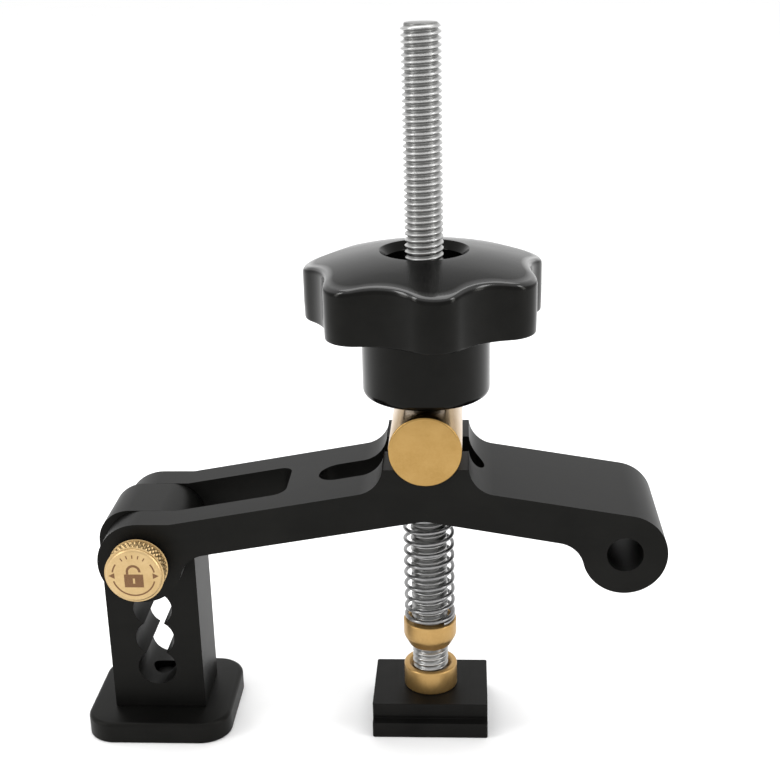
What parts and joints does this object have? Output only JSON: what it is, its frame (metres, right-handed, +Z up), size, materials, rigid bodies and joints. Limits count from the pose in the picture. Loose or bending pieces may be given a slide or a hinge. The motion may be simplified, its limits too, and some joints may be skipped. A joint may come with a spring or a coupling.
{
  "type": "t-track hold-down clamp",
  "caption": "Hold-down clamp for a T-track: a slotted arm on a pivot barrel is drawn down a threaded rod by a star knob, and rests on a height-adjustable leg.",
  "frame": {"origin": "centre of the track nut's underside, on the axis of the threaded rod", "axes": "+Z up along the threaded rod; +X along the arm towards the nose with the cross hole; -Y towards the knurled lock knob"},
  "size_m": [0.1259, 0.0493, 0.152],
  "materials": {
    "anodised": "satin black anodised",
    "oxide_steel": "black oxide",
    "zinc_steel": "zinc plated",
    "spring_steel": "bright drawn",
    "brass": "turned and polished",
    "black_plastic": "semi gloss"
  },
  "bodies": {
    "track_nut": {"track_nut": "oxide_steel"},
    "rod": {"threaded_rod": "zinc_steel", "lock_collar": "brass", "spring_seat": "brass", "return_spring": "spring_steel"},
    "barrel": {"pivot_barrel": "brass"},
    "knob": {"star_knob": "black_plastic", "knob_insert": "brass"},
    "arm": {"clamp_arm": "anodised"},
    "lock_pin": {"lock_pin": "zinc_steel", "lock_knob": "brass", "pin_clip": "spring_steel"},
    "pin_washer": {"pin_washer": "zinc_steel"},
    "leg": {"leg_post": "anodised", "foot_plate": "anodised", "foot_screw": "oxide_steel"}
  },
  "joints": [
    {"name": "nut_swivel", "type": "hinge", "parent": "track_nut", "child": "rod", "pos_m": [0, 0, 0], "axis": [0, 0, 1], "continuous": true},
    {"name": "head_travel", "type": "slide", "parent": "rod", "child": "barrel", "axis": [0, 0, 1], "range_m": [-0.012, 0], "deforming": ["return_spring"]},
    {"name": "knob_turn", "type": "hinge", "parent": "barrel", "child": "knob", "pos_m": [0, 0, 0.0771], "axis": [0, 0, 1], "range_deg": [-3457, 0]},
    {"name": "arm_tilt", "type": "hinge", "parent": "barrel", "child": "arm", "pos_m": [0, 0, 0.0693], "axis": [0, 1, 0], "range_deg": [-10, 10]},
    {"name": "lock_turn", "type": "hinge", "parent": "arm", "child": "lock_pin", "pos_m": [-0.0604, 0, 0.0439], "axis": [0, 1, 0], "range_deg": [0, 90]},
    {"name": "leg_pivot", "type": "hinge", "parent": "arm", "child": "pin_washer", "pos_m": [-0.0604, 0, 0.0439], "axis": [0, 1, 0], "range_deg": [-30, 30]},
    {"name": "leg_height", "type": "slide", "parent": "pin_washer", "child": "leg", "axis": [0, 0, 1], "range_m": [0, 0.029]}
  ],
  "couplings": [
    {"joint": "knob_turn", "follows": "head_travel", "rad_per_m": 5026.5}
  ]
}
